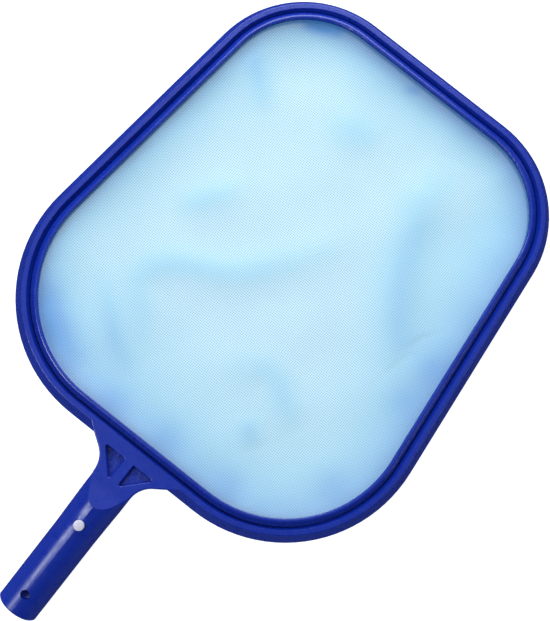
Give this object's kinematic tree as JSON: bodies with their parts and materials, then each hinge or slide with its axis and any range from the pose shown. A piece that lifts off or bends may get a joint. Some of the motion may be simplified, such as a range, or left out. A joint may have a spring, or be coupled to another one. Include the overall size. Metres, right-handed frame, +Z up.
{
  "type": "leaf skimmer net",
  "caption": "Flat hand skimmer for floating leaves: a rounded trapezoid rim with a fine shallow mesh, on a bent round socket with two spring snap buttons.",
  "frame": {"origin": "middle of the overall box, at the floor that the far rim and the socket's end rest on", "axes": "+Y from the socket to the far rim, +X across the head, +Z up from the floor, on the net's catching side"},
  "size_m": [0.291, 0.4464, 0.0428],
  "materials": {
    "frame_plastic": "glossy moulded plastic, cobalt blue",
    "ring_plastic": "glossy moulded plastic, cobalt blue",
    "mesh_fabric": "fine woven mesh, pale sky blue, see-through",
    "hem_fabric": "welded folded hem, pale blue",
    "spring_steel": "rolled stainless spring strip",
    "button_plastic": "satin white acetal"
  },
  "bodies": {
    "handle_and_head": {"frame": "frame_plastic", "retaining_ring": "ring_plastic", "net": "mesh_fabric", "net_hem": "hem_fabric", "spring_bend": "spring_steel", "spring_leg_upper": "spring_steel", "spring_leg_lower": "spring_steel"},
    "upper_button": {"button_upper": "button_plastic"},
    "lower_button": {"button_lower": "button_plastic"}
  },
  "joints": [
    {"name": "upper_button_press", "type": "slide", "parent": "handle_and_head", "child": "upper_button", "axis": [0, 0.1702, -0.9854], "range_m": [0, 0.003], "stiffness_N_per_m": 1500, "springref_m": -0.002, "deforming": ["spring_leg_upper"]},
    {"name": "lower_button_press", "type": "slide", "parent": "handle_and_head", "child": "lower_button", "axis": [0, -0.1702, 0.9854], "range_m": [0, 0.003], "stiffness_N_per_m": 1500, "springref_m": -0.002, "deforming": ["spring_leg_lower"]}
  ]
}
